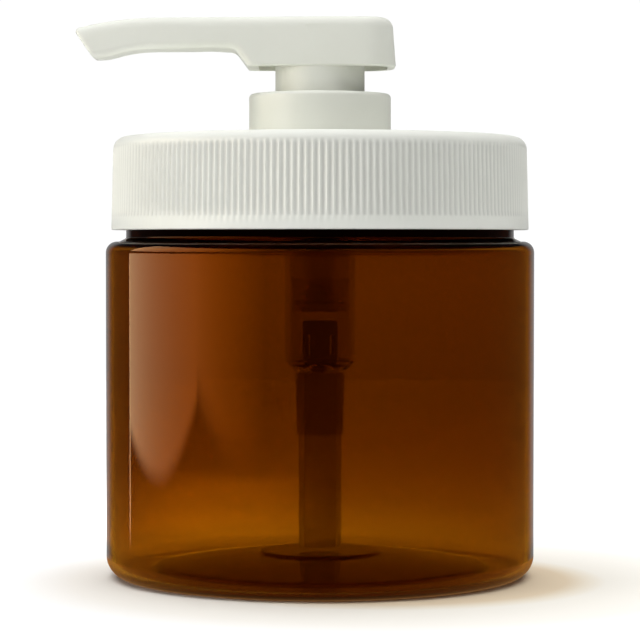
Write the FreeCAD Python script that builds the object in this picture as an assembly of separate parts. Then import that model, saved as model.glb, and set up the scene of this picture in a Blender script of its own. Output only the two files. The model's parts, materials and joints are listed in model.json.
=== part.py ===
import FreeCAD, Part
import math
import os

# Pump bottle for massage oil: a wide straight-sided PET jar with a screw lid and a lotion pump.
# Frame: origin on the jar's axis at the standing plane, +Z up, the spout pointing to -X. Millimetres.
V = FreeCAD.Vector
UP = V(0, 0, 1)

# How far a cutting tool runs past what it cuts, how far fused pieces sink into each other, and what
# counts as flat or near when edges are picked out
PAST = 1.0
SUNK = 0.5
FLAT = 0.01
NEAR = 0.1

# Jar body
JAR_R = 46.5
JAR_WALL = 1.6
HEEL_R = 4.6
SHOULDER_Z = 72.7
SHOULDER_CORNER_R = 2.4
FOOT_INNER_R = 35.1
PUSH_UP_STEP = 1.1
PUSH_UP_EDGE_Z = 3.3
PUSH_UP_RING_R = 12.8
PUSH_UP_RING_Z = 3.9
PUSH_UP_RING_SLOPE = 0.4
PUSH_UP_INNER_SLOPE = 0.7
PUSH_UP_FALL = [(20.0, 0.35), (28.0, 1.2)]
FOOT_SLOPE = 0.9

# Jar neck, a 5.08 mm pitch finish turned 1.25 times
NECK_R = 42.1
NECK_BORE_R = 39.6
NECK_FOOT_R = 43.6
NECK_FOOT_H = 0.7
RIM_Z = 92.1
RIM_EDGE_R = 0.5
THREAD_PITCH = 5.08
THREAD_TURNS = 1.25
THREAD_BASE_W = 2.2
THREAD_CREST_W = 1.0
JAR_THREAD_CREST_R = 43.3
JAR_THREAD_Z = 80.6

# Lid
LID_BOTTOM_Z = 75.2
LID_BOTTOM_R = 45.3
LID_TOP_R = 44.8
LID_TOP_Z = 95.3
LID_TOP_EDGE_R = 2.8
LID_BOTTOM_EDGE_R = 0.4
LID_PLATE_Z = 93.3
LID_INNER_R = 43.5
LID_BAND_TOP_Z = 77.8
RIB_TOP_Z = 93.6
RIB_COUNT = 204
RIB_DEPTH = 0.35
LID_THREAD_CREST_R = 42.45
LID_THREAD_DROP = 2.2
LID_HOLE_R = 13.05
LID_BOSS_R = 14.0
LID_BOSS_Z = 98.6

# Foam liner under the lid's top plate
LINER_INNER_R = 14.3
LINER_OUTER_R = 43.2
SEAL_GAP = 0.05

# Pump housing and its gasket
GASKET_T = 0.6
FLANGE_T = 1.4
CUP_OUTER_R = 12.9
CUP_INNER_R = 11.7
CUP_FLOOR_Z = 73.0
CUP_FLOOR_T = 1.5
CUP_EDGE = 0.8
CHAMBER_OUTER_R = 7.65
CHAMBER_BORE_R = 6.5
CHAMBER_TOP_Z = 87.1
CHAMBER_FLOOR_Z = 46.4
CHAMBER_LIP_H = 0.3
INLET_R = 1.7
INLET_SEAT_Z = 45.4
SPIGOT_TOP_R = 5.45
SPIGOT_TOP_Z = 44.4
SPIGOT_END_R = 5.1
SPIGOT_END_Z = 30.8
VENT_R = 0.6
VENT_Z = 67.6

# Dip tube
TUBE_R = 4.7
TUBE_BORE_R = 3.5
TUBE_TOP_Z = 44.1
TUBE_BOTTOM_Z = 6.4

# Inlet valve
CAGE_R = 3.8
CAGE_BORE_R = 2.9
CAGE_TOP_Z = 55.5
CAGE_ROOF_Z = 52.5
CAGE_CHAMFER = 0.9
CAGE_TOP_EDGE_R = 0.5
CAGE_LEDGE = 0.2
CAGE_SLOT_W = 1.5
CAGE_SLOT_Z = 48.0
CAGE_OUTLET_R = 1.2
INLET_BALL_R = 2.4

# Stem guide, the spring's lower seat
GUIDE_TOP_Z = 89.1
GUIDE_BOTTOM_Z = 79.1
GUIDE_BORE_R = 3.56
GUIDE_LEAD_W = 0.5
GUIDE_LEAD_H = 0.8

# Return spring, at its length with the pump locked down
SPRING_WIRE_R = 0.45
SPRING_MEAN_R = 5.6
SPRING_COILS = 9
SPRING_END_Z = 102.05

# Stem and outlet valve
STEM_R = 3.5
STEM_BORE_R = 2.2
STEM_NECK_R = 3.0
STEM_SHOULDER_Z = 64.9
STEM_BOTTOM_Z = 57.9
STEM_FLANGE_R = 4.0
STEM_FLANGE_T = 0.7
STEM_TOP_Z = 114.4
OUTLET_R = 1.25
OUTLET_SEAT_Z = 59.1
OUTLET_BALL_R = 1.8
KEEPER_Z = 64.0
KEEPER_T = 0.8
KEEPER_R = 1.5
KEEPER_SLOT_W = 0.8

# Piston
PISTON_BOTTOM_Z = 57.6
PISTON_TOP_Z = 64.7
PISTON_SEAL_R = 6.46
PISTON_WAIST_R = 5.7
PISTON_SEAL_H = 1.6
PISTON_LIP = 0.35
PISTON_FLANK_H = 0.6
PISTON_BORE_R = 3.06
PISTON_RECESS_R = 4.3
PISTON_RECESS_Z = 58.9

# Seats of both ball valves: 45 degree cones that the balls clear by this much
SEAT_CLEARANCE = 0.03

# Pump collar
COLLAR_R = 15.4
COLLAR_TOP_Z = 104.7
COLLAR_EDGE_R = 0.9
COLLAR_FOOT_CHAMFER = 0.25
COLLAR_BORE_CHAMFER = 0.4
COLLAR_CAVITY_R = 14.05
COLLAR_BORE_R = 10.45
COLLAR_TUBE_R = 11.5
COLLAR_TUBE_Z = 96.1

# Pump head
HEAD_BOTTOM_Z = 110.3
HEAD_TOP_Z = 121.0
HEAD_REAR_X = 16.4
HEAD_HALF_W = 10.3
HEAD_CORNER_R = 7.0
HEAD_DRAFT = 0.8
HEAD_TAPER_X = 2.0
SPOUT_HALF_W = 5.2
HEAD_TAPER_BLEND_R = 40.0
HEAD_TOP_EDGE_R = 2.5
HEAD_RIM_EDGE_R = 0.5
SPOUT_LOWER_EDGE_R = 1.6
SPOUT_ROOT_R = 2.5
NOZZLE_EDGE_R = 0.8
HEAD_WALL = 1.8
HEAD_ROOF_Z = 118.7
HOLLOW_FRONT_X = -13.2
DUCT_HALF_W = 3.2
DUCT_BOTTOM_Z = 113.2
SKIRT_R = 9.7
SKIRT_BORE_R = 8.0
SKIRT_BOTTOM_Z = 76.0
SKIRT_CHAMFER = 0.4
SOCKET_R = 6.4
SOCKET_BOTTOM_Z = 102.1
LOCK_THREAD_R = 10.25
LOCK_THREAD_W = 1.2
LOCK_THREAD_PITCH = 3.0
LOCK_THREAD_Z = 99.6
LOCK_THREAD_TURNS = 1.25
CHANNEL_R = 1.9
CHANNEL_Z = 117.2
NOZZLE_BEND = (-43.0, 117.2)
NOZZLE_MOUTH = (-56.0, 114.35)

# The pump head's side outline as (x, z)
SPOUT_TOP = [(-29.0, 121.0), (-40.1, 120.8), (-48.0, 119.8), (-53.3, 118.5)]
SPOUT_TIP_DROP = (-0.94, -0.34)
SPOUT_UNDER = [(-49.0, 112.3), (-47.2, 112.3), (-42.2, 113.4), (-33.0, 114.2), (-25.8, 114.3), (-18.4, 114.1)]
SPOUT_ROOT_X = -15.6

# How much the underside's curve falls per mm where it starts and where it ends
SPOUT_UNDER_START_FALL = 0.03
SPOUT_UNDER_END_FALL = 0.06


def revolve(points):
    """A solid of revolution about Z from a closed (r, z) outline."""
    corners = [V(r, 0, z) for r, z in points]
    face = Part.Face(Part.makePolygon(corners + corners[:1]))
    return face.revolve(V(0, 0, 0), UP, 360)


def cylinder(r, z0, z1):
    return Part.makeCylinder(r, z1 - z0, V(0, 0, z0), UP)


def tube(r_out, r_in, z0, z1):
    return cylinder(r_out, z0, z1).cut(cylinder(r_in, z0, z1))


def circles_near(shape, r, z, tol=0.02):
    """The round edges of one radius at one height."""
    found = []
    for edge in shape.Edges:
        curve = edge.Curve
        if isinstance(curve, Part.Circle):
            if abs(curve.Radius - r) < tol and abs(curve.Center.z - z) < tol:
                found.append(edge)
    return found


def fillet_circles(shape, r, z, size):
    return shape.makeFillet(size, circles_near(shape, r, z))


def ridge(root_r, crest_r, z, pitch, turns, base_w, crest_w, overlap=0.25):
    """A thread ridge that winds up around Z, its base sunk a little into the wall it grows from."""
    helix = Part.makeHelix(pitch, pitch * turns, root_r)
    helix.translate(V(0, 0, z))
    outward = 1 if crest_r > root_r else -1
    base_r = root_r - outward * overlap
    grow = (base_w - crest_w) / 2 * overlap / abs(crest_r - root_r)
    half_base = base_w / 2 + grow
    corners = [
        V(base_r, 0, z - half_base),
        V(crest_r, 0, z - crest_w / 2),
        V(crest_r, 0, z + crest_w / 2),
        V(base_r, 0, z + half_base),
    ]
    section = Part.makePolygon(corners + corners[:1])
    sweep = Part.BRepOffsetAPI.MakePipeShell(Part.Wire(helix))
    sweep.setFrenetMode(True)
    sweep.add(section)
    sweep.build()
    sweep.makeSolid()
    return sweep.shape()


def make_jar():
    inner_r = JAR_R - JAR_WALL
    floor_z = JAR_WALL
    outer = [
        (0, PUSH_UP_RING_Z),
        (PUSH_UP_RING_R - PUSH_UP_RING_SLOPE, PUSH_UP_RING_Z),
        (PUSH_UP_RING_R, PUSH_UP_EDGE_Z),
        *[(r, PUSH_UP_EDGE_Z - fall) for r, fall in PUSH_UP_FALL],
        (FOOT_INNER_R - FOOT_SLOPE, PUSH_UP_STEP),
        (FOOT_INNER_R, 0),
        (JAR_R, 0),
        (JAR_R, SHOULDER_Z),
        (NECK_FOOT_R, SHOULDER_Z),
        (NECK_R, SHOULDER_Z + NECK_FOOT_H),
        (NECK_R, RIM_Z),
        (0, RIM_Z),
    ]
    inner = [
        (0, PUSH_UP_RING_Z + JAR_WALL),
        (PUSH_UP_RING_R, PUSH_UP_RING_Z + JAR_WALL),
        (PUSH_UP_RING_R + PUSH_UP_INNER_SLOPE, PUSH_UP_EDGE_Z + JAR_WALL),
        *[(r, PUSH_UP_EDGE_Z - fall + JAR_WALL) for r, fall in PUSH_UP_FALL],
        (FOOT_INNER_R, floor_z + PUSH_UP_STEP),
        (FOOT_INNER_R + JAR_WALL, floor_z),
        (inner_r, floor_z),
        (inner_r, SHOULDER_Z - JAR_WALL),
        (NECK_BORE_R, SHOULDER_Z - JAR_WALL),
        (NECK_BORE_R, RIM_Z + PAST),
        (0, RIM_Z + PAST),
    ]
    body = revolve(outer)
    body = fillet_circles(body, JAR_R, 0, HEEL_R)
    body = fillet_circles(body, JAR_R, SHOULDER_Z, SHOULDER_CORNER_R)
    cavity = revolve(inner)
    cavity = fillet_circles(cavity, inner_r, floor_z, HEEL_R - JAR_WALL)
    cavity = fillet_circles(cavity, inner_r, SHOULDER_Z - JAR_WALL, SHOULDER_CORNER_R - JAR_WALL)
    jar = body.cut(cavity)
    jar = fillet_circles(jar, NECK_R, RIM_Z, RIM_EDGE_R)
    jar = fillet_circles(jar, NECK_BORE_R, RIM_Z, RIM_EDGE_R)
    thread = ridge(
        NECK_R, JAR_THREAD_CREST_R, JAR_THREAD_Z, THREAD_PITCH, THREAD_TURNS, THREAD_BASE_W, THREAD_CREST_W
    )
    return jar.fuse(thread).removeSplitter()


def rib_outline(r, z):
    """A closed saw-tooth ring: one crest and one root per rib."""
    points = []
    for i in range(2 * RIB_COUNT):
        reach = r if i % 2 == 0 else r - RIB_DEPTH
        angle = math.pi * i / RIB_COUNT
        points.append(V(reach * math.cos(angle), reach * math.sin(angle), z))
    return Part.makePolygon(points + points[:1])


def make_lid():
    slope = (LID_TOP_R - LID_BOTTOM_R) / (LID_TOP_Z - LID_BOTTOM_Z)
    band_r = LID_BOTTOM_R + slope * (LID_BAND_TOP_Z - LID_BOTTOM_Z)
    rib_top_r = LID_BOTTOM_R + slope * (RIB_TOP_Z - LID_BOTTOM_Z)
    envelope = revolve([
        (0, LID_BOTTOM_Z),
        (LID_BOTTOM_R, LID_BOTTOM_Z),
        (LID_TOP_R, LID_TOP_Z),
        (0, LID_TOP_Z),
    ])
    envelope = fillet_circles(envelope, LID_TOP_R, LID_TOP_Z, LID_TOP_EDGE_R)
    envelope = fillet_circles(envelope, LID_BOTTOM_R, LID_BOTTOM_Z, LID_BOTTOM_EDGE_R)
    groove_band = tube(LID_BOTTOM_R + PAST, LID_INNER_R + RIB_DEPTH, LID_BAND_TOP_Z, RIB_TOP_Z)
    ribs = Part.makeLoft(
        [rib_outline(band_r, LID_BAND_TOP_Z), rib_outline(rib_top_r, RIB_TOP_Z)], True, True
    )
    lid = envelope.cut(groove_band.cut(ribs))
    lid = lid.cut(cylinder(LID_INNER_R, LID_BOTTOM_Z - PAST, LID_PLATE_Z))
    boss = cylinder(LID_BOSS_R, LID_TOP_Z - SUNK, LID_BOSS_Z)
    lid = lid.fuse(boss).cut(cylinder(LID_HOLE_R, LID_PLATE_Z - PAST, LID_BOSS_Z + PAST))
    thread = ridge(
        LID_INNER_R, LID_THREAD_CREST_R, JAR_THREAD_Z - LID_THREAD_DROP,
        THREAD_PITCH, THREAD_TURNS, THREAD_BASE_W, THREAD_CREST_W,
    )
    return lid.fuse(thread)


def make_lid_liner():
    return tube(LINER_OUTER_R, LINER_INNER_R, RIM_Z + SEAL_GAP, LID_PLATE_Z - SEAL_GAP)


def make_housing_gasket():
    return tube(LID_BOSS_R, LID_HOLE_R, LID_BOSS_Z, LID_BOSS_Z + GASKET_T)


def make_pump_housing():
    flange_z = LID_BOSS_Z + GASKET_T
    cup_floor_top = CUP_FLOOR_Z + CUP_FLOOR_T
    cone_z = CHAMBER_FLOOR_Z + CHAMBER_LIP_H
    half = [
        (INLET_R, SPIGOT_TOP_Z),
        (TUBE_R, SPIGOT_TOP_Z),
        (TUBE_R, SPIGOT_END_Z),
        (SPIGOT_END_R, SPIGOT_END_Z),
        (SPIGOT_TOP_R, SPIGOT_TOP_Z),
        (CHAMBER_OUTER_R, cone_z),
        (CHAMBER_OUTER_R, CUP_FLOOR_Z),
        (CUP_OUTER_R - CUP_EDGE, CUP_FLOOR_Z),
        (CUP_OUTER_R, CUP_FLOOR_Z + CUP_EDGE),
        (CUP_OUTER_R, flange_z),
        (LID_BOSS_R, flange_z),
        (LID_BOSS_R, flange_z + FLANGE_T),
        (CUP_INNER_R, flange_z + FLANGE_T),
        (CUP_INNER_R, cup_floor_top),
        (CHAMBER_OUTER_R, cup_floor_top),
        (CHAMBER_OUTER_R, CHAMBER_TOP_Z),
        (CHAMBER_BORE_R, CHAMBER_TOP_Z),
        (CHAMBER_BORE_R, CHAMBER_FLOOR_Z),
        (INLET_R + CHAMBER_FLOOR_Z - INLET_SEAT_Z, CHAMBER_FLOOR_Z),
        (INLET_R, INLET_SEAT_Z),
    ]
    vent = Part.makeCylinder(VENT_R, CHAMBER_OUTER_R, V(CHAMBER_BORE_R - PAST, 0, VENT_Z), V(1, 0, 0))
    return revolve(half).cut(vent)


def make_dip_tube():
    return tube(TUBE_R, TUBE_BORE_R, TUBE_BOTTOM_Z, TUBE_TOP_Z)


def make_valve_cage():
    cage = cylinder(CAGE_R, CHAMBER_FLOOR_Z, CAGE_TOP_Z)
    cage = cage.makeChamfer(CAGE_CHAMFER, circles_near(cage, CAGE_R, CHAMBER_FLOOR_Z))
    cage = fillet_circles(cage, CAGE_R, CAGE_TOP_Z, CAGE_TOP_EDGE_R)
    cage = cage.cut(cylinder(CAGE_BORE_R - CAGE_LEDGE, CHAMBER_FLOOR_Z - PAST, CAGE_SLOT_Z))
    cage = cage.cut(cylinder(CAGE_BORE_R, CAGE_SLOT_Z - SUNK, CAGE_ROOF_Z))
    cage = cage.cut(cylinder(CAGE_OUTLET_R, CAGE_ROOF_Z - PAST, CAGE_TOP_Z + PAST))
    slot = Part.makeBox(
        4 * CAGE_R, CAGE_SLOT_W, CAGE_ROOF_Z - CAGE_SLOT_Z, V(-2 * CAGE_R, -CAGE_SLOT_W / 2, CAGE_SLOT_Z)
    )
    for angle in (45, 135):
        turned = slot.copy()
        turned.rotate(V(0, 0, 0), UP, angle)
        cage = cage.cut(turned)
    return cage


def seated_ball(ball_r, seat_r, seat_z):
    """A ball that rests in a 45 degree seat whose throat is seat_r wide at seat_z."""
    centre_z = seat_z - seat_r + math.sqrt(2) * (ball_r + SEAT_CLEARANCE)
    return Part.makeSphere(ball_r, V(0, 0, centre_z))


def make_stem_guide():
    return revolve([
        (GUIDE_BORE_R, GUIDE_BOTTOM_Z),
        (CHAMBER_BORE_R - GUIDE_LEAD_W, GUIDE_BOTTOM_Z),
        (CHAMBER_BORE_R, GUIDE_BOTTOM_Z + GUIDE_LEAD_H),
        (CHAMBER_BORE_R, CHAMBER_TOP_Z),
        (CHAMBER_OUTER_R, CHAMBER_TOP_Z),
        (CHAMBER_OUTER_R, GUIDE_TOP_Z),
        (GUIDE_BORE_R, GUIDE_TOP_Z),
    ])


def make_return_spring():
    start_z = GUIDE_TOP_Z + SPRING_WIRE_R
    height = SPRING_END_Z - SPRING_WIRE_R - start_z
    helix = Part.makeHelix(height / SPRING_COILS, height, SPRING_MEAN_R)
    helix.translate(V(0, 0, start_z))
    wire = Part.Wire(Part.makeCircle(SPRING_WIRE_R, V(SPRING_MEAN_R, 0, start_z), V(0, 1, 0)))
    sweep = Part.BRepOffsetAPI.MakePipeShell(Part.Wire(helix))
    sweep.setFrenetMode(True)
    sweep.add(wire)
    sweep.build()
    sweep.makeSolid()
    return sweep.shape()


def make_piston():
    return revolve([
        (PISTON_BORE_R, PISTON_RECESS_Z),
        (PISTON_RECESS_R, PISTON_RECESS_Z),
        (PISTON_RECESS_R, PISTON_BOTTOM_Z),
        (PISTON_SEAL_R - PISTON_LIP, PISTON_BOTTOM_Z),
        (PISTON_SEAL_R, PISTON_BOTTOM_Z + PISTON_LIP),
        (PISTON_SEAL_R, PISTON_BOTTOM_Z + PISTON_SEAL_H),
        (PISTON_WAIST_R, PISTON_BOTTOM_Z + PISTON_SEAL_H + PISTON_FLANK_H),
        (PISTON_WAIST_R, PISTON_TOP_Z - PISTON_SEAL_H - PISTON_FLANK_H),
        (PISTON_SEAL_R, PISTON_TOP_Z - PISTON_SEAL_H),
        (PISTON_SEAL_R, PISTON_TOP_Z - PISTON_LIP),
        (PISTON_SEAL_R - PISTON_LIP, PISTON_TOP_Z),
        (PISTON_BORE_R, PISTON_TOP_Z),
    ])


def make_stem():
    stem = revolve([
        (OUTLET_R, STEM_BOTTOM_Z),
        (STEM_FLANGE_R, STEM_BOTTOM_Z),
        (STEM_FLANGE_R, STEM_BOTTOM_Z + STEM_FLANGE_T),
        (STEM_NECK_R, STEM_BOTTOM_Z + STEM_FLANGE_T),
        (STEM_NECK_R, STEM_SHOULDER_Z),
        (STEM_R, STEM_SHOULDER_Z),
        (STEM_R, STEM_TOP_Z),
        (STEM_BORE_R, STEM_TOP_Z),
        (STEM_BORE_R, KEEPER_Z + KEEPER_T),
        (KEEPER_R, KEEPER_Z + KEEPER_T),
        (KEEPER_R, KEEPER_Z),
        (STEM_BORE_R, KEEPER_Z),
        (STEM_BORE_R, OUTLET_SEAT_Z + STEM_BORE_R - OUTLET_R),
        (OUTLET_R, OUTLET_SEAT_Z),
    ])
    for angle in (0, 90):
        notch = Part.makeBox(
            2 * STEM_BORE_R, KEEPER_SLOT_W, KEEPER_T, V(-STEM_BORE_R, -KEEPER_SLOT_W / 2, KEEPER_Z)
        )
        notch.rotate(V(0, 0, 0), UP, angle)
        stem = stem.cut(notch.common(cylinder(STEM_BORE_R, KEEPER_Z, KEEPER_Z + KEEPER_T)))
    return stem


def make_pump_collar():
    roof_z = LID_BOSS_Z + GASKET_T + FLANGE_T
    collar = cylinder(COLLAR_R, LID_TOP_Z, COLLAR_TOP_Z)
    collar = fillet_circles(collar, COLLAR_R, COLLAR_TOP_Z, COLLAR_EDGE_R)
    collar = collar.makeChamfer(COLLAR_FOOT_CHAMFER, circles_near(collar, COLLAR_R, LID_TOP_Z))
    collar = collar.cut(cylinder(COLLAR_CAVITY_R, LID_TOP_Z - PAST, roof_z))
    collar = collar.fuse(cylinder(COLLAR_TUBE_R, COLLAR_TUBE_Z, roof_z + SUNK))
    collar = collar.cut(cylinder(COLLAR_BORE_R, COLLAR_TUBE_Z - PAST, COLLAR_TOP_Z + PAST))
    return collar.makeChamfer(COLLAR_BORE_CHAMFER, circles_near(collar, COLLAR_BORE_R, COLLAR_TOP_Z))


def spline(points, start, end):
    """A smooth curve through the points that leaves and arrives along the given directions."""
    curve = Part.BSplineCurve()
    curve.interpolate(Points=points, InitialTangent=start, FinalTangent=end)
    return curve.toShape()


def head_side():
    """The head's side outline, swept across more than its full width."""
    y = -HEAD_HALF_W - PAST
    top = [V(x, y, z) for x, z in SPOUT_TOP]
    under = [V(x, y, z) for x, z in SPOUT_UNDER]
    root = V(SPOUT_ROOT_X, y, HEAD_BOTTOM_Z)
    rear_low = V(HEAD_REAR_X, y, HEAD_BOTTOM_Z)
    rear_high = V(HEAD_REAR_X, y, HEAD_TOP_Z)
    tip_drop = V(SPOUT_TIP_DROP[0], 0, SPOUT_TIP_DROP[1])
    edges = [
        Part.makeLine(rear_high, top[0]),
        spline(top, V(-1, 0, 0), tip_drop),
        Part.makeLine(top[-1], under[0]),
        spline(under, V(1, 0, -SPOUT_UNDER_START_FALL), V(1, 0, -SPOUT_UNDER_END_FALL)),
        Part.makeLine(under[-1], root),
        Part.makeLine(root, rear_low),
        Part.makeLine(rear_low, rear_high),
    ]
    return Part.Face(Part.Wire(edges)).extrude(V(0, -2 * y, 0))


def head_outline(inset, z):
    """The head's outline seen from above, at one height: rounded at the rear, tapering along the spout."""
    half_w = HEAD_HALF_W - inset
    tip_w = SPOUT_HALF_W - inset
    rear = HEAD_REAR_X - inset
    r = HEAD_CORNER_R - inset
    tip_x = SPOUT_TOP[-1][0] - 2 * PAST
    half_turn = math.atan2(half_w - tip_w, HEAD_TAPER_X - tip_x) / 2
    blend_x = HEAD_TAPER_X + HEAD_TAPER_BLEND_R * math.tan(half_turn)
    diag = r * math.sqrt(0.5)
    edges = []
    for side in (1, -1):
        centre = V(rear - r, side * (half_w - r), z)
        on_rear = V(rear, centre.y, z)
        on_side = V(centre.x, side * half_w, z)
        between = V(centre.x + diag, centre.y + side * diag, z)
        edges.append(Part.Arc(on_rear, between, on_side).toShape())
        bend = [V(blend_x, side * half_w, z)]
        for angle in (half_turn, 2 * half_turn):
            back = HEAD_TAPER_BLEND_R * math.sin(angle)
            drop = HEAD_TAPER_BLEND_R * (1 - math.cos(angle))
            bend.append(V(blend_x - back, side * (half_w - drop), z))
        edges.append(Part.makeLine(on_side, bend[0]))
        edges.append(Part.Arc(*bend).toShape())
        edges.append(Part.makeLine(bend[2], V(tip_x, side * tip_w, z)))
    edges.append(Part.makeLine(V(tip_x, tip_w, z), V(tip_x, -tip_w, z)))
    edges.append(Part.makeLine(V(rear, r - half_w, z), V(rear, half_w - r, z)))
    return Part.Wire(Part.__sortEdges__(edges))


def head_plan(inset, z0, z1):
    """The outline carried up with a little draft, so that the head is narrower at its top."""
    rate = HEAD_DRAFT / (HEAD_TOP_Z - HEAD_BOTTOM_Z)
    sections = [head_outline(inset + rate * (z - HEAD_BOTTOM_Z), z) for z in (z0, z1)]
    return Part.makeLoft(sections, True, True)


def fillet_where(shape, size, test):
    """Rounds every edge whose bounding box passes the test."""
    return shape.makeFillet(size, [edge for edge in shape.Edges if test(edge.BoundBox)])


def head_shell():
    """The head's outer form with all its edges rounded."""
    spout_x = SPOUT_TOP[0][0]
    under_x, under_z = SPOUT_UNDER[-1]
    shell = head_side().common(head_plan(0, HEAD_BOTTOM_Z - PAST, HEAD_TOP_Z + PAST)).Solids[0]
    shell = fillet_where(
        shell, SPOUT_ROOT_R,
        lambda b: b.XLength < FLAT and b.YLength > SPOUT_HALF_W and abs(b.XMin - under_x) < NEAR,
    )
    shell = fillet_where(
        shell, HEAD_TOP_EDGE_R,
        lambda b: (b.ZMin > HEAD_TOP_Z - NEAR and (b.XLength > FLAT or b.XMax > 0))
        or (b.XMax <= spout_x + NEAR and b.ZMin > under_z + CHANNEL_R and b.XLength > SPOUT_HALF_W),
    )
    shell = fillet_where(
        shell, SPOUT_LOWER_EDGE_R,
        lambda b: b.ZMax < under_z + SUNK and b.XMax < SPOUT_ROOT_X + NEAR and b.YLength < HEAD_CORNER_R,
    )
    shell = fillet_where(shell, HEAD_RIM_EDGE_R, lambda b: b.ZMax < HEAD_BOTTOM_Z + FLAT)
    for face in shell.Faces:
        box = face.BoundBox
        if isinstance(face.Surface, Part.Plane) and box.XMax < NOZZLE_BEND[0] and box.ZLength > CHANNEL_R:
            return shell.makeFillet(NOZZLE_EDGE_R, face.Edges)


def pipe_run(r, points):
    """Straight round runs joined by balls, along (x, z) points in the head's mid plane."""
    run = None
    for (x0, z0), (x1, z1) in zip(points, points[1:]):
        start, along = V(x0, 0, z0), V(x1 - x0, 0, z1 - z0)
        piece = Part.makeCylinder(r, along.Length, start, along).fuse(Part.makeSphere(r, start))
        run = piece if run is None else run.fuse(piece)
    return run


def make_pump_head():
    hollow = head_plan(HEAD_WALL, HEAD_BOTTOM_Z - PAST, HEAD_ROOF_Z)
    spout_length = HOLLOW_FRONT_X - NOZZLE_MOUTH[0]
    front = Part.makeBox(
        spout_length, 4 * HEAD_HALF_W, 2 * HEAD_TOP_Z,
        V(NOZZLE_MOUTH[0], -2 * HEAD_HALF_W, 0),
    )
    hollow = hollow.cut(front)
    duct = Part.makeBox(
        PAST - HOLLOW_FRONT_X, 2 * DUCT_HALF_W, HEAD_ROOF_Z - DUCT_BOTTOM_Z + SUNK,
        V(HOLLOW_FRONT_X - PAST, -DUCT_HALF_W, DUCT_BOTTOM_Z),
    )
    socket = cylinder(SOCKET_R, SOCKET_BOTTOM_Z, HEAD_ROOF_Z + SUNK)
    skirt = tube(SKIRT_R, SKIRT_BORE_R, SKIRT_BOTTOM_Z, HEAD_ROOF_Z + SUNK)
    skirt = skirt.makeChamfer(SKIRT_CHAMFER, circles_near(skirt, SKIRT_R, SKIRT_BOTTOM_Z))
    lock_thread = ridge(
        SKIRT_R, LOCK_THREAD_R, LOCK_THREAD_Z, LOCK_THREAD_PITCH, LOCK_THREAD_TURNS,
        LOCK_THREAD_W, LOCK_THREAD_W / 2,
    )
    channel = pipe_run(CHANNEL_R, [(0, STEM_TOP_Z - PAST), (0, CHANNEL_Z), NOZZLE_BEND, NOZZLE_MOUTH])
    head = head_shell().cut(hollow).fuse([duct, socket, skirt, lock_thread])
    return head.cut([cylinder(STEM_R, SOCKET_BOTTOM_Z - PAST, STEM_TOP_Z), channel])


BUILDERS = {
    "jar": make_jar,
    "lid_liner": make_lid_liner,
    "lid": make_lid,
    "pump_collar": make_pump_collar,
    "pump_housing": make_pump_housing,
    "housing_gasket": make_housing_gasket,
    "valve_cage": make_valve_cage,
    "dip_tube": make_dip_tube,
    "stem_guide": make_stem_guide,
    "return_spring": make_return_spring,
    "inlet_ball": lambda: seated_ball(INLET_BALL_R, INLET_R, INLET_SEAT_Z),
    "piston": make_piston,
    "stem": make_stem,
    "outlet_ball": lambda: seated_ball(OUTLET_BALL_R, OUTLET_R, OUTLET_SEAT_Z),
    "pump_head": make_pump_head,
}

os.makedirs("parts", exist_ok=True)
for node, build in BUILDERS.items():
    build().exportStep(f"parts/{node}.step")
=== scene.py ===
import json
import math
import bmesh
import bpy
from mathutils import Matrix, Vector

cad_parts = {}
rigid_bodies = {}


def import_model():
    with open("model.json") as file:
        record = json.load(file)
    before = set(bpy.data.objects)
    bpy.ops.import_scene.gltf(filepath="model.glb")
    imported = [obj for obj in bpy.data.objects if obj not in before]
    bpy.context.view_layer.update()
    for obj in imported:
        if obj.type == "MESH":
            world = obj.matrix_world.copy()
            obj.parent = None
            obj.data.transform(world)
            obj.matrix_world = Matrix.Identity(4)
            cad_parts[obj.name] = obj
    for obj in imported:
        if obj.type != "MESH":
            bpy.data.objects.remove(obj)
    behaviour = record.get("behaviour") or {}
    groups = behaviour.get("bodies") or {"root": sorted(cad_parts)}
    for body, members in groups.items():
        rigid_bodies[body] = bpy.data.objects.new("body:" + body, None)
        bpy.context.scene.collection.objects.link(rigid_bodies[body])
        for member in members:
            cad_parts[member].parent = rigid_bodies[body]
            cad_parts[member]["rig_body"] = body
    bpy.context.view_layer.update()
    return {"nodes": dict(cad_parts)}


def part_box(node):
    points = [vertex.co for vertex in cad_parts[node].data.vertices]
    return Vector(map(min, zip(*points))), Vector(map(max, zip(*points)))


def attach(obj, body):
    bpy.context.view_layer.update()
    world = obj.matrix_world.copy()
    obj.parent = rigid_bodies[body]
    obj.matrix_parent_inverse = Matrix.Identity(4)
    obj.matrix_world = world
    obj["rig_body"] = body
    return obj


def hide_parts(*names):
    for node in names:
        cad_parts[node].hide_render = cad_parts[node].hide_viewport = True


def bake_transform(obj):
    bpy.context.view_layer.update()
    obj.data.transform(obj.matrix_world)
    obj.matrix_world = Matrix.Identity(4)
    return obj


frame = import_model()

MM = 0.001
nodes = frame["nodes"]
scene = bpy.context.scene


def box_mm(node):
    """A CAD node's lowest and highest corner in millimetres."""
    low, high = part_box(node)
    return Vector(low) / MM, Vector(high) / MM


jar_high = box_mm("jar")[1]
lid_low, lid_high = box_mm("lid")
collar_low, collar_high = box_mm("pump_collar")

# The jar, in millimetres
JAR_R = jar_high.x
JAR_WALL = 1.6
INNER_R = JAR_R - JAR_WALL
HEEL_R = 4.6
SHOULDER_Z = 72.7
SHOULDER_CORNER_R = 2.4
NECK_R = 42.1
NECK_BORE_R = 39.6
RIM_Z = jar_high.z
FOOT_R = 35.1
PUSH_UP_EDGE_Z = 3.3
PUSH_UP_RING_Z = 3.9
PUSH_UP_RING_R = 12.5
PUSH_UP_EDGE_R = 13.1
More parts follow.
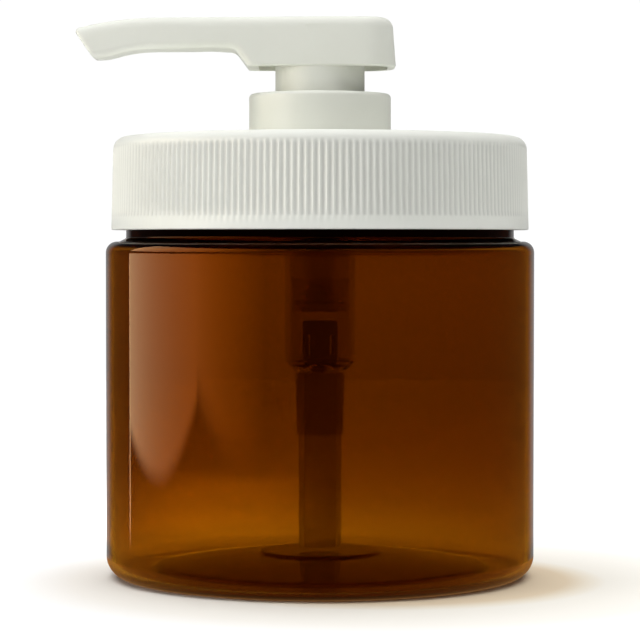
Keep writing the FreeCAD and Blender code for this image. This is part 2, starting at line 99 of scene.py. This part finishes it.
# Radii on the push-up's slope, each with its fall below the push-up's edge
PUSH_UP_SLOPE = ((20.0, 0.35), (28.0, 1.2))
FOOT_WIDTH = 0.9
FOOT_INSIDE_Z = 1.1
FOOT_INSIDE_ROUND = 1.5
NECK_ROOT_WIDTH = 1.5
NECK_ROOT_HEIGHT = 0.7
NECK_ROUND = 0.5
NECK_INSIDE_ROUND = 0.9

# The thread that the jar and the lid share
THREAD_PITCH = 5.08
THREAD_TURNS = 1.25
THREAD_HALF_BASE = 1.1
THREAD_HALF_CREST = 0.5
THREAD_FADE_ANGLE = 0.3
THREAD_MARGIN = 2.0
JAR_THREAD_Z = 80.6
JAR_THREAD_HEIGHT = 1.2
LID_THREAD_Z = JAR_THREAD_Z - 2.2
LID_THREAD_HEIGHT = 1.05

# The lid and the collar
LID_BOTTOM_Z = lid_low.z
LID_BOTTOM_R = lid_high.x
LID_TOP_Z = collar_low.z
LID_TOP_R = LID_BOTTOM_R - 0.5
LID_INNER_R = 43.5
LID_PLATE_Z = LID_TOP_Z - 2.0
LID_BOSS_Z = lid_high.z
LID_BOSS_R = 14.0
LID_HOLE_R = 13.05
LID_SIDE_R = LID_TOP_R - 0.8
RIBS = 204
RIB_DEPTH = 0.35
RIB_NARROWING = 0.7
RIB_LOW = LID_BOTTOM_Z + 2.6
RIB_HIGH = LID_TOP_Z - 1.7
RIB_LOW_EASE = 0.5
RIB_HIGH_EASE = 1.2
COLLAR_R = collar_high.x
COLLAR_TOP_Z = collar_high.z
COLLAR_BORE_R = 10.45
COLLAR_TUBE_R = 11.5
COLLAR_TUBE_Z = 96.1
COLLAR_ROOF_Z = LID_BOSS_Z + 2.0
COLLAR_CAVITY_R = 14.05

# How fine the meshes are: steps round a turned piece and the longest rows along its outline
JAR_SIDES = 256
LID_SIDES = RIBS * 6
COLLAR_SIDES = 160
NECK_ROW = 0.3
JAR_ROW = 4.0
LID_THREAD_ROW = 0.55
LID_SIDE_ROW = 1.3
LID_ROW = 8.0
COLLAR_ROW = 3.0
# Points closer than this are welded, in metres
WELD_REACH = 2e-6
# Two radii closer than this belong to the same upright wall
SAME_WALL = 0.05


# ---------------------------------------------------------------- meshes

def new_object(name, mesh):
    obj = bpy.data.objects.new(name, mesh)
    scene.collection.objects.link(obj)
    return obj


def mesh_object(name, verts, faces, sharp_deg=35.0):
    mesh = bpy.data.meshes.new(name)
    mesh.from_pydata([Vector(v) * MM for v in verts], [], faces)
    mesh.validate()
    obj = new_object(name, mesh)
    smooth(obj, sharp_deg)
    return obj


def smooth(obj, sharp_deg):
    """Smooth shading that keeps the edges sharper than an angle."""
    mesh = obj.data
    bm = bmesh.new()
    bm.from_mesh(mesh)
    limit = math.radians(sharp_deg)
    for edge in bm.edges:
        edge.smooth = len(edge.link_faces) == 2 and edge.calc_face_angle(0.0) < limit
    for face in bm.faces:
        face.smooth = True
    bm.to_mesh(mesh)
    bm.free()


def welded_copy(node, sharp_deg):
    """A copy of a CAD node with its seams welded and its shading smoothed."""
    obj = new_object("fine_" + node, nodes[node].data.copy())
    bm = bmesh.new()
    bm.from_mesh(obj.data)
    bmesh.ops.remove_doubles(bm, verts=bm.verts, dist=WELD_REACH)
    bm.to_mesh(obj.data)
    bm.free()
    obj.data.materials.clear()
    if "custom_normal" in obj.data.attributes:
        obj.data.attributes.remove(obj.data.attributes["custom_normal"])
    smooth(obj, sharp_deg)
    return obj


def refined(node, sharp_deg=30.0):
    """A welded copy that stands for its node and moves with it. Its normals follow the large faces,
    so that rounded edges blend into flats."""
    source = nodes[node]
    obj = welded_copy(node, sharp_deg)
    mod = obj.modifiers.new("normals", "WEIGHTED_NORMAL")
    mod.keep_sharp = True
    mod.weight = 60
    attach(obj, source["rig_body"])
    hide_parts(node)
    return obj


def rounded(points, steps_per_quarter):
    """An (r, z) outline in which points given as (r, z, radius) become arcs. It is a closed loop."""
    out = []
    for i, point in enumerate(points):
        if len(point) == 2:
            out.append(point)
            continue
        r, z, radius = point
        here = Vector((r, z))
        before = Vector(points[i - 1][:2]) - here
        after = Vector(points[(i + 1) % len(points)][:2]) - here
        half = before.angle(after) / 2
        reach = radius / math.tan(half)
        start = here + before.normalized() * reach
        end = here + after.normalized() * reach
        centre = here + (before.normalized() + after.normalized()).normalized() * (radius / math.sin(half))
        a0 = math.atan2(start.y - centre.y, start.x - centre.x)
        a1 = math.atan2(end.y - centre.y, end.x - centre.x)
        sweep = (a1 - a0 + math.pi) % (2 * math.pi) - math.pi
        steps = max(2, round(steps_per_quarter * abs(sweep) / (math.pi / 2)))
        for k in range(steps + 1):
            a = a0 + sweep * k / steps
            out.append((centre.x + radius * math.cos(a), centre.y + radius * math.sin(a)))
    return out


def divided(points, longest):
    """A closed outline with its long straight runs divided; longest(r, r2) is the limit for a run."""
    out = []
    for (r, z), (r2, z2) in zip(points, [*points[1:], points[0]]):
        parts = max(1, math.ceil(math.hypot(r2 - r, z2 - z) / longest(r, r2)))
        out += [(r + (r2 - r) * k / parts, z + (z2 - z) * k / parts) for k in range(parts)]
    return out


def no_relief(r, z, angle):
    return 0.0


def ring_points(outline, sides, relief):
    """The outline turned round the axis; relief(r, z, angle) moves a point in r."""
    verts = []
    for r, z in outline:
        for side in range(sides):
            angle = 2 * math.pi * side / sides
            reach = r + relief(r, z, angle)
            verts.append((reach * math.cos(angle), reach * math.sin(angle), z))
    return verts


def turned_ring(name, outline, sides, relief=no_relief, sharp_deg=35.0):
    """A turned solid from a closed (r, z) outline that stays clear of the axis."""
    faces = []
    for row in range(len(outline)):
        low, high = row * sides, (row + 1) % len(outline) * sides
        for side in range(sides):
            beside = (side + 1) % sides
            faces.append((low + side, low + beside, high + beside, high + side))
    return mesh_object(name, ring_points(outline, sides, relief), faces, sharp_deg)


def turned_body(name, outline, sides, relief):
    """A turned solid from an (r, z) outline that starts and ends on the axis."""
    (_, first_z), *rows, (_, last_z) = outline
    verts = [(0, 0, first_z), *ring_points(rows, sides, relief), (0, 0, last_z)]
    end = len(verts) - 1
    last_ring = end - sides
    faces = []
    for side in range(sides):
        beside = (side + 1) % sides
        faces.append((0, 1 + beside, 1 + side))
        faces.append((end, last_ring + side, last_ring + beside))
        for low in range(1, last_ring, sides):
            high = low + sides
            faces.append((low + side, low + beside, high + beside, high + side))
    return mesh_object(name, verts, faces)


def ease(t):
    """A smooth step from 0 at 0 to 1 at 1."""
    t = min(max(t, 0.0), 1.0)
    return t * t * (3 - 2 * t)


def thread_height(z, angle, start_z):
    """0 to 1 across a thread ridge that winds up from start_z and fades out at both ends."""
    best = 0.0
    run = 2 * math.pi * THREAD_TURNS
    flank = THREAD_HALF_BASE - THREAD_HALF_CREST
    a = angle % (2 * math.pi)
    while a <= run:
        off = abs(z - (start_z + THREAD_PITCH * a / (2 * math.pi)))
        fade = ease(a / THREAD_FADE_ANGLE) * ease((run - a) / THREAD_FADE_ANGLE)
        best = max(best, min(1.0, max(0.0, (THREAD_HALF_BASE - off) / flank)) * fade)
        a += 2 * math.pi
    return best


# ---------------------------------------------------------------- the jar

def jar_relief(r, z, angle):
    if abs(r - NECK_R) < SAME_WALL and JAR_THREAD_Z - THREAD_MARGIN < z < RIM_Z - THREAD_MARGIN:
        return JAR_THREAD_HEIGHT * thread_height(z, angle, JAR_THREAD_Z)
    return 0.0


def jar_row(r, r2):
    on_neck = abs(r - NECK_R) < SAME_WALL and abs(r2 - NECK_R) < SAME_WALL
    return NECK_ROW if on_neck else JAR_ROW


# Short rows where the wall meets its rounded ends keep the shading flat between them
WALL_END_ROW = 0.1
push_up_under = [(r, PUSH_UP_EDGE_Z - fall) for r, fall in PUSH_UP_SLOPE]
push_up_inside = [(r, z + JAR_WALL) for r, z in reversed(push_up_under)]
jar_outline = rounded([
    (0, PUSH_UP_RING_Z),
    (PUSH_UP_RING_R, PUSH_UP_RING_Z, 0.4),
    (PUSH_UP_EDGE_R, PUSH_UP_EDGE_Z, 0.4),
    *push_up_under,
    (FOOT_R - FOOT_WIDTH, FOOT_INSIDE_Z, 1.0),
    (FOOT_R, 0, 0.4),
    (JAR_R, 0, HEEL_R),
    (JAR_R, HEEL_R + WALL_END_ROW),
    (JAR_R, SHOULDER_Z - SHOULDER_CORNER_R - WALL_END_ROW),
    (JAR_R, SHOULDER_Z, SHOULDER_CORNER_R),
    (NECK_R + NECK_ROOT_WIDTH, SHOULDER_Z, 0.3),
    (NECK_R, SHOULDER_Z + NECK_ROOT_HEIGHT, NECK_ROUND),
    (NECK_R, RIM_Z, NECK_ROUND),
    (NECK_BORE_R, RIM_Z, NECK_ROUND),
    (NECK_BORE_R, SHOULDER_Z - JAR_WALL, NECK_INSIDE_ROUND),
    (INNER_R, SHOULDER_Z - JAR_WALL, SHOULDER_CORNER_R - JAR_WALL),
    (INNER_R, JAR_WALL, HEEL_R - JAR_WALL),
    (FOOT_R + JAR_WALL, JAR_WALL, FOOT_INSIDE_ROUND),
    (FOOT_R, JAR_WALL + FOOT_INSIDE_Z, FOOT_INSIDE_ROUND),
    *push_up_inside,
    (PUSH_UP_EDGE_R + 0.4, PUSH_UP_EDGE_Z + JAR_WALL, 0.3),
    (PUSH_UP_RING_R + 0.3, PUSH_UP_RING_Z + JAR_WALL, 0.3),
    (0, PUSH_UP_RING_Z + JAR_WALL),
], steps_per_quarter=10)
jar = turned_body("jar_amber", divided(jar_outline, jar_row), JAR_SIDES, jar_relief)
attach(jar, "jar")
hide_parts("jar")


# ---------------------------------------------------------------- the lid

def lid_relief(r, z, angle):
    """The ribs outside, narrower than the grooves between them, and the thread inside."""
    if r > LID_SIDE_R and RIB_LOW < z < RIB_HIGH:
        ends = min(ease((z - RIB_LOW) / RIB_LOW_EASE), ease((RIB_HIGH - z) / RIB_HIGH_EASE))
        wave = 0.5 - 0.5 * math.cos(RIBS * angle)
        return -RIB_DEPTH * ends * wave ** RIB_NARROWING
    on_thread = LID_THREAD_Z - THREAD_MARGIN < z < LID_PLATE_Z - THREAD_MARGIN
    if abs(r - LID_INNER_R) < SAME_WALL and on_thread:
        return -LID_THREAD_HEIGHT * thread_height(z, angle, LID_THREAD_Z)
    return 0.0


def lid_row(r, r2):
    if abs(r - LID_INNER_R) < SAME_WALL and abs(r2 - LID_INNER_R) < SAME_WALL:
        return LID_THREAD_ROW
    return LID_SIDE_ROW if min(r, r2) > LID_SIDE_R else LID_ROW


def collar_row(r, r2):
    return COLLAR_ROW


lid_outline = rounded([
    (LID_HOLE_R, LID_PLATE_Z),
    (LID_INNER_R, LID_PLATE_Z, 0.5),
    (LID_INNER_R, LID_BOTTOM_Z, 0.2),
    (LID_BOTTOM_R, LID_BOTTOM_Z, 0.4),
    (LID_TOP_R, LID_TOP_Z, 2.8),
    (LID_BOSS_R, LID_TOP_Z, 0.3),
    (LID_BOSS_R, LID_BOSS_Z, 0.2),
    (LID_HOLE_R, LID_BOSS_Z),
], steps_per_quarter=8)
lid = turned_ring("lid_ribbed", divided(lid_outline, lid_row), LID_SIDES, lid_relief, 40)
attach(lid, "lid")
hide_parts("lid")

collar_outline = rounded([
    (COLLAR_BORE_R, COLLAR_TOP_Z, 0.4),
    (COLLAR_BORE_R, COLLAR_TUBE_Z),
    (COLLAR_TUBE_R, COLLAR_TUBE_Z, 0.2),
    (COLLAR_TUBE_R, COLLAR_ROOF_Z),
    (COLLAR_CAVITY_R, COLLAR_ROOF_Z),
    (COLLAR_CAVITY_R, LID_TOP_Z),
    (COLLAR_R, LID_TOP_Z, 0.25),
    (COLLAR_R, COLLAR_TOP_Z, 0.9),
], steps_per_quarter=8)
collar = turned_ring("collar_turned", divided(collar_outline, collar_row), COLLAR_SIDES)
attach(collar, "lid")
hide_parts("pump_collar")

# ---------------------------------------------------------------- the pump

head = refined("pump_head", 28)
housing = refined("pump_housing")
cage = refined("valve_cage")
dip = refined("dip_tube")
guide = refined("stem_guide")
piston = refined("piston")
stem = refined("stem")
gasket = refined("housing_gasket")
liner = refined("lid_liner")
ball_in = refined("inlet_ball", 60)
ball_out = refined("outlet_ball", 60)

spring = welded_copy("return_spring", 50)
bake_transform(spring)
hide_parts("return_spring")


# ---------------------------------------------------------------- materials

class Shader:
    """A material's node tree with a Principled shader and short calls to add to it."""

    def __init__(self, name):
        self.mat = bpy.data.materials.new(name)
        self.mat.use_nodes = True
        self.tree = self.mat.node_tree
        self.bsdf = self.tree.nodes["Principled BSDF"]
        self.out = self.tree.nodes["Material Output"]
        self.coord = self.tree.nodes.new("ShaderNodeTexCoord")

    def link(self, a, b):
        self.tree.links.new(a, b)

    def noise(self, scale, detail=3.0, rough=0.5, stretch=(1, 1, 1)):
        mapping = self.tree.nodes.new("ShaderNodeMapping")
        mapping.inputs["Scale"].default_value = stretch
        self.link(self.coord.outputs["Object"], mapping.inputs["Vector"])
        node = self.tree.nodes.new("ShaderNodeTexNoise")
        node.inputs["Scale"].default_value = scale
        node.inputs["Detail"].default_value = detail
        node.inputs["Roughness"].default_value = rough
        self.link(mapping.outputs["Vector"], node.inputs["Vector"])
        return node.outputs["Fac"]

    def ramp(self, fac, stops):
        node = self.tree.nodes.new("ShaderNodeValToRGB")
        ramp = node.color_ramp
        while len(ramp.elements) < len(stops):
            ramp.elements.new(0.5)
        for element, (at, colour) in zip(ramp.elements, stops):
            element.position = at
            element.color = (*colour, 1.0)
        self.link(fac, node.inputs["Fac"])
        return node.outputs["Color"]

    def span(self, fac, low, high, from_low=0.3, from_high=0.7):
        node = self.tree.nodes.new("ShaderNodeMapRange")
        node.inputs["From Min"].default_value = from_low
        node.inputs["From Max"].default_value = from_high
        node.inputs["To Min"].default_value = low
        node.inputs["To Max"].default_value = high
        self.link(fac, node.inputs["Value"])
        return node.outputs["Result"]

    def bump(self, height, distance, strength=1.0):
        node = self.tree.nodes.new("ShaderNodeBump")
        node.inputs["Distance"].default_value = distance
        node.inputs["Strength"].default_value = strength
        self.link(height, node.inputs["Height"])
        self.link(node.outputs["Normal"], self.bsdf.inputs["Normal"])

    def set(self, **values):
        for key, value in values.items():
            self.bsdf.inputs[key.replace("_", " ")].default_value = value


def dress(shader, slot, *objects):
    for obj in objects:
        obj.data.materials.clear()
        obj.data.materials.append(shader.mat)


def plastic(name, light, dark, rough_low, rough_high):
    """A plastic with faint clouds in its colour and gloss and a very fine grain."""
    shader = Shader(name)
    colour = shader.ramp(shader.noise(60, 4), [(0.3, dark), (0.7, light)])
    shader.link(colour, shader.bsdf.inputs["Base Color"])
    shader.link(shader.span(shader.noise(900, 3), rough_low, rough_high), shader.bsdf.inputs["Roughness"])
    shader.bump(shader.noise(2600, 2), 0.00002, 0.35)
    shader.set(IOR=1.49)
    return shader


def position(shader):
    """The object's own coordinates, as three numbers."""
    split = shader.tree.nodes.new("ShaderNodeSeparateXYZ")
    shader.link(shader.coord.outputs["Object"], split.inputs["Vector"])
    return split.outputs


def math_node(shader, operation, *values):
    """A maths node on sockets or plain numbers."""
    node = shader.tree.nodes.new("ShaderNodeMath")
    node.operation = operation
    for socket, value in zip(node.inputs, values):
        if isinstance(value, (int, float)):
            socket.default_value = value
        else:
            shader.link(value, socket)
    return node.outputs["Value"]


def scaled(shader, colour, factor):
    """A colour times a factor."""
    node = shader.tree.nodes.new("ShaderNodeVectorMath")
    node.operation = "SCALE"
    shader.link(colour, node.inputs[0])
    shader.link(factor, node.inputs["Scale"])
    return node.outputs["Vector"]


amber = Shader("amber_pet")
amber.set(Transmission_Weight=1.0, IOR=1.5, Specular_Tint=(1.0, 0.25, 0.0, 1))
across, along, up = position(amber)
# The amber's own tint with painted light and shade by height: lighter near the base, darker higher up, and
# nearly black on the neck as painted shade from the lid
cloudy_height = math_node(amber, "ADD", amber.span(up, 0.0, 1.0, 0.0, RIM_Z * MM),
                          amber.span(amber.noise(35, 2), -0.003, 0.003))
amber_with_painted_light_and_shade = amber.ramp(cloudy_height, [
    (0.0, (0.66, 0.43, 0.085)),
    (0.06, (0.54, 0.335, 0.058)),
    (0.13, (0.405, 0.23, 0.034)),
    (0.28, (0.33, 0.162, 0.016)),
    (0.42, (0.305, 0.15, 0.012)),
    (0.70, (0.335, 0.163, 0.013)),
    (0.76, (0.33, 0.16, 0.013)),
    (0.785, (0.24, 0.10, 0.008)),
    (0.792, (0.02, 0.006, 0.001)),
])
# Painted shade: the push-up is tinted darker than the wall, for the floor in shadow under the jar
radius_squared = math_node(amber, "ADD", math_node(amber, "MULTIPLY", across, across),
                           math_node(amber, "MULTIPLY", along, along))
PUSH_UP_PAINTED_SHADE = 0.2
PUSH_UP_TINT_R = 0.95 * FOOT_R * MM
WALL_TINT_R = 1.08 * FOOT_R * MM
painted_base_shade = amber.span(radius_squared, PUSH_UP_PAINTED_SHADE, 1.0, PUSH_UP_TINT_R ** 2, WALL_TINT_R ** 2)
amber.link(scaled(amber, amber_with_painted_light_and_shade, painted_base_shade), amber.bsdf.inputs["Base Color"])
amber.link(amber.span(amber.noise(40, 3), 0.012, 0.035), amber.bsdf.inputs["Roughness"])
amber.bump(amber.noise(22, 1.5, 0.4, (1, 1, 0.5)), 0.0004, 0.2)
absorb = amber.tree.nodes.new("ShaderNodeVolumeAbsorption")
absorb.inputs["Color"].default_value = (0.90, 0.78, 0.45, 1)
absorb.inputs["Density"].default_value = 900
amber.link(absorb.outputs["Volume"], amber.out.inputs["Volume"])

lid_white = plastic("lid_plastic", (0.82, 0.83, 0.77), (0.79, 0.80, 0.74), 0.32, 0.42)
# Painted shade: the grooves between the ribs are coloured a little darker
GROOVE_SHADE = 0.2
lid_x, lid_y, lid_z = position(lid_white)
rib_wave = math_node(lid_white, "COSINE", math_node(
    lid_white, "MULTIPLY", math_node(lid_white, "ARCTAN2", lid_y, lid_x), RIBS))
in_band = math_node(
    lid_white, "MULTIPLY",
    lid_white.span(lid_z, 0.0, 1.0, RIB_LOW * MM, (RIB_LOW + RIB_LOW_EASE) * MM),
    lid_white.span(lid_z, 1.0, 0.0, (RIB_HIGH - RIB_HIGH_EASE) * MM, RIB_HIGH * MM))
painted_groove_shade = math_node(lid_white, "MULTIPLY", lid_white.span(rib_wave, GROOVE_SHADE, 0.0, -1.0, 1.0), in_band)
lid_colour = lid_white.bsdf.inputs["Base Color"].links[0].from_socket
lid_white.link(scaled(lid_white, lid_colour, math_node(lid_white, "SUBTRACT", 1.0, painted_groove_shade)),
               lid_white.bsdf.inputs["Base Color"])
pump_white = plastic("pump_plastic", (0.83, 0.84, 0.765), (0.80, 0.81, 0.735), 0.28, 0.38)

milky = plastic("milky_plastic", (0.70, 0.64, 0.56), (0.64, 0.58, 0.50), 0.03, 0.07)
milky.set(Transmission_Weight=1.0)
tube_mat = plastic("tube_plastic", (0.80, 0.77, 0.72), (0.74, 0.71, 0.66), 0.08, 0.15)
tube_mat.set(Transmission_Weight=0.85)

black = Shader("black_plastic")
black.link(black.ramp(black.noise(300, 3), [(0.3, (0.012, 0.012, 0.012)), (0.7, (0.022, 0.022, 0.022))]),
           black.bsdf.inputs["Base Color"])
black.link(black.span(black.noise(800, 2), 0.35, 0.5), black.bsdf.inputs["Roughness"])

foam_mat = Shader("liner_foam")
foam_shades = [(0.3, (0.78, 0.78, 0.76)), (0.7, (0.88, 0.88, 0.86))]
foam_mat.link(foam_mat.ramp(foam_mat.noise(1500, 4), foam_shades), foam_mat.bsdf.inputs["Base Color"])
foam_mat.link(foam_mat.span(foam_mat.noise(500, 2), 0.75, 0.9), foam_mat.bsdf.inputs["Roughness"])
foam_mat.bump(foam_mat.noise(3000, 2), 0.00008, 0.6)

gasket_mat = Shader("gasket_rubber")
gasket_shades = [(0.3, (0.62, 0.62, 0.58)), (0.7, (0.7, 0.7, 0.66))]
gasket_mat.link(gasket_mat.ramp(gasket_mat.noise(400, 3), gasket_shades),
                gasket_mat.bsdf.inputs["Base Color"])
gasket_mat.link(gasket_mat.span(gasket_mat.noise(700, 2), 0.5, 0.65), gasket_mat.bsdf.inputs["Roughness"])

steel = Shader("spring_steel")
steel.set(Metallic=1.0)
steel.link(steel.ramp(steel.noise(900, 3), [(0.3, (0.5, 0.5, 0.5)), (0.7, (0.66, 0.66, 0.65))]),
           steel.bsdf.inputs["Base Color"])
steel.link(steel.span(steel.noise(1400, 2), 0.18, 0.32), steel.bsdf.inputs["Roughness"])

dress(amber, "amber_pet", jar)
dress(lid_white, "white_cap", lid)
dress(pump_white, "white_pump", head, collar)
dress(milky, "natural_pp", housing, guide, stem, piston)
dress(tube_mat, "tube_pe", dip)
dress(black, "black_pp", cage)
dress(foam_mat, "foam", liner)
dress(gasket_mat, "gasket", gasket)
dress(steel, "steel", spring, ball_in, ball_out)


# ---------------------------------------------------------------- floor, light and camera

def around(sides):
    """The angles of evenly spaced points round a circle."""
    return [2 * math.pi * k / sides for k in range(sides)]


# A round floor that stays inside the evenly lit area, in metres
FLOOR_R = 0.6
FLOOR_CENTRE_Y = 0.2
FLOOR_DROP = 0.00005
# Centre and reach of the painted shadow and glow round the jar's foot
PAINTED_GLOW_CENTRE = (0.014, -0.008)
PAINTED_GLOW_R = 0.080
floor_turns = around(96)
floor_mesh = bpy.data.meshes.new("floor")
floor_mesh.from_pydata(
    [(FLOOR_R * math.cos(a), FLOOR_CENTRE_Y + FLOOR_R * math.sin(a), 0) for a in floor_turns],
    [], [tuple(range(len(floor_turns)))])
floor = new_object("floor", floor_mesh)
floor.location.z = -FLOOR_DROP
floor_look = Shader("floor_paper_painted_shadow")
# Painted shadow: the floor round the jar's foot is coloured a warm brown, darkest just right of the foot,
# for the jar's shadow warmed by light through the amber
to_painted_glow = []
for axis, centre in zip(position(floor_look), PAINTED_GLOW_CENTRE):
    offset = math_node(floor_look, "SUBTRACT", axis, centre)
    to_painted_glow.append(math_node(floor_look, "MULTIPLY", offset, offset))
painted_glow_squared = floor_look.span(math_node(floor_look, "ADD", *to_painted_glow), 0.0, 1.0, 0.0, PAINTED_GLOW_R ** 2)
floor_look.link(floor_look.ramp(painted_glow_squared, [
    (0.235, (0.80, 0.67, 0.49)),
    (0.29, (0.87, 0.80, 0.67)),
    (0.35, (0.915, 0.885, 0.81)),
    (0.70, (0.93, 0.905, 0.85)),
    (1.0, (0.96, 0.96, 0.96)),
]), floor_look.bsdf.inputs["Base Color"])
floor_look.set(Roughness=0.9, Specular_IOR_Level=0.1)
floor.data.materials.append(floor_look.mat)
floor.visible_glossy = False

# The room is dim, with a brighter patch behind the jar
world = bpy.data.worlds.new("studio")
scene.world = world
world.use_nodes = True
world_tree = world.node_tree
background = world_tree.nodes["Background"]
direction = world_tree.nodes.new("ShaderNodeTexCoord")
direction_parts = world_tree.nodes.new("ShaderNodeSeparateXYZ")
patch = world_tree.nodes.new("ShaderNodeMapRange")
patch.interpolation_type = "SMOOTHSTEP"
for socket, number in (("From Min", 0.84), ("From Max", 0.96), ("To Min", 0.015), ("To Max", 0.3)):
    patch.inputs[socket].default_value = number
world_tree.links.new(direction.outputs["Generated"], direction_parts.inputs["Vector"])
world_tree.links.new(direction_parts.outputs["Y"], patch.inputs["Value"])
world_tree.links.new(patch.outputs["Result"], background.inputs["Strength"])
background.inputs["Color"].default_value = (1, 1, 1, 1)


def glowing(name, verts, faces, levels, colour):
    """A stage surface that glows, with a strength at each vertex. Diffuse surfaces get no light from
    it, and it casts no shadow."""
    mesh = bpy.data.meshes.new(name)
    mesh.from_pydata(verts, [], faces)
    level = mesh.attributes.new("level", "FLOAT", "POINT")
    for k, value in enumerate(levels):
        level.data[k].value = value
    obj = new_object(name, mesh)
    mat = bpy.data.materials.new(name)
    mat.use_nodes = True
    tree = mat.node_tree
    tree.nodes.clear()
    out = tree.nodes.new("ShaderNodeOutputMaterial")
    glow = tree.nodes.new("ShaderNodeEmission")
    glow.inputs["Color"].default_value = (*colour, 1)
    strength = tree.nodes.new("ShaderNodeAttribute")
    strength.attribute_name = "level"
    tree.links.new(strength.outputs["Fac"], glow.inputs["Strength"])
    tree.links.new(glow.outputs["Emission"], out.inputs["Surface"])
    mesh.materials.append(mat)
    obj.visible_diffuse = False
    obj.visible_shadow = False
    return obj


def backdrop_dome(radius, strength):
    """A white dome all round, seen directly and through the jar, but not mirrored in it."""
    bm = bmesh.new()
    bmesh.ops.create_uvsphere(bm, u_segments=48, v_segments=24, radius=radius)
    bm.verts.ensure_lookup_table()
    verts = [tuple(v.co) for v in bm.verts]
    faces = [tuple(v.index for v in f.verts) for f in bm.faces]
    bm.free()
    dome = glowing("backdrop_dome", verts, faces, [strength] * len(verts), (1, 1, 1))
    dome.visible_glossy = False


# The panels, in metres. They leave out the height of the jar's neck, which mirrors nothing bright.
PANEL_R = 0.25
PANEL_GAP = (0.0725, 0.110)
PANEL_TOP = 0.26
PANEL_COLUMNS = 24
PANEL_FADE_ROWS = 5
# The angle from a panel's lowest point at which its lower edge has risen by its side lift
PANEL_LIFT_DEG = 25


def softbox(name, start_deg, end_deg, low_deg, low_z, side_lifts, fade, strengths):
    """A curved light panel round the jar's axis, seen only as a reflection. Its ends are angles from the
    front towards -X, its lower edge rises to both sides of low_deg by the two side lifts, and it fades
    in over a height."""
    verts, faces, levels = [], [], []
    rises = [j / PANEL_FADE_ROWS for j in range(PANEL_FADE_ROWS + 1)]
    gap_row = len(rises)
    points_up = gap_row + len(PANEL_GAP) + 1
    for i in range(PANEL_COLUMNS + 1):
        u = i / PANEL_COLUMNS
        degrees = start_deg + (end_deg - start_deg) * u
        angle = math.radians(degrees)
        low = low_z + side_lifts[degrees > low_deg] * ((degrees - low_deg) / PANEL_LIFT_DEG) ** 2
        heights = [*(low + fade * rise for rise in rises), *PANEL_GAP, PANEL_TOP]
        strength = strengths[0] * (1 - u) + strengths[1] * u
        verts += [(-PANEL_R * math.sin(angle), -PANEL_R * math.cos(angle), z) for z in heights]
        levels += [strength * ease(rise) for rise in (*rises, 1, 1, 1)]
    for i in range(PANEL_COLUMNS):
        for j in range(points_up - 1):
            if j != gap_row:
                k = i * points_up + j
                faces.append((k, k + 1, k + points_up + 1, k + points_up))
    box = glowing(name, verts, faces, levels, (1.0, 0.82, 0.5))
    box.visible_camera = False
    box.visible_transmission = False


backdrop_dome(radius=8.0, strength=1.02)
softbox("softbox_left", start_deg=61.4, end_deg=111.5, low_deg=86, low_z=0.0,
        side_lifts=(0.024, 0.012), fade=0.009, strengths=(3.25, 2.9))
softbox("softbox_edge", start_deg=111.5, end_deg=112.3, low_deg=86, low_z=-0.02,
        side_lifts=(0, 0), fade=0.012, strengths=(4.5, 4.5))
softbox("softbox_front", start_deg=25.5, end_deg=61.4, low_deg=36, low_z=0.004,
        side_lifts=(0.018, 0.018), fade=0.018, strengths=(0.0, 3.0))


def heel_painted_reflection(inner_r, outer_r, colour):
    """A glowing ring under the floor round the jar's foot, seen only in reflections: a painted reflection
    of the floor in the heel. The radii are in millimetres.
    """
    sides = 48
    drop = 0.02
    rim = [(r * math.cos(a), r * math.sin(a), -drop) for r in (inner_r, outer_r) for a in around(sides)]
    verts = [Vector(point) * MM for point in rim]
    faces = [(k, (k + 1) % sides, sides + (k + 1) % sides, sides + k) for k in range(sides)]
    ring = glowing("heel_painted_reflection", verts, faces, [1.0] * len(verts), colour)
    ring.visible_camera = False
    ring.visible_transmission = False


heel_painted_reflection(inner_r=30, outer_r=62, colour=(0.34, 0.16, 0.05))


def area_light(name, at, look_at, size, power):
    """A soft light that isn't itself seen."""
    data = bpy.data.lights.new(name, "AREA")
    data.shape = "RECTANGLE"
    data.size, data.size_y = size
    data.energy = power
    obj = new_object(name, data)
    obj.location = at
    obj.rotation_euler = (Vector(look_at) - Vector(at)).to_track_quat("-Z", "Y").to_euler()
    obj.visible_camera = False
    obj.visible_glossy = False
    obj.visible_transmission = False


area_light("top_light", at=(0.0, 0.3, 1.4), look_at=(0, 0.1, 0), size=(2.4, 2.4), power=47)
area_light("key_light", at=(-0.82, -0.38, 0.22), look_at=(0, 0, 0.08), size=(0.5, 0.4), power=3.3)
area_light("floor_light", at=(-0.036, 0.150, 0.035), look_at=(-0.036, 0.1501, 0),
           size=(0.01, 0.16), power=0.048)
area_light("fill_light", at=(0.6, -0.8, 0.4), look_at=(0, 0, 0.08), size=(0.6, 0.6), power=2.0)

# The lens looks down a little, from the height of the jar's shoulder
CAMERA_BACK = 0.560
CAMERA_Z = 0.0726
LOOK_DOWN_DEG = 1.7384
SENSOR_MM = 36.0
LENS_MM = 144.5625
camera = new_object("camera", bpy.data.cameras.new("camera"))
camera.location = (0.0, -CAMERA_BACK, CAMERA_Z)
camera.rotation_euler = (math.radians(90 - LOOK_DOWN_DEG), 0, 0)
camera.data.sensor_width = SENSOR_MM
camera.data.lens = LENS_MM
camera.data.clip_start = 0.01
scene.camera = camera

scene.view_settings.view_transform = "Standard"
scene.cycles.max_bounces = 24
scene.cycles.transmission_bounces = 24
scene.cycles.glossy_bounces = 8
scene.cycles.diffuse_bounces = 6
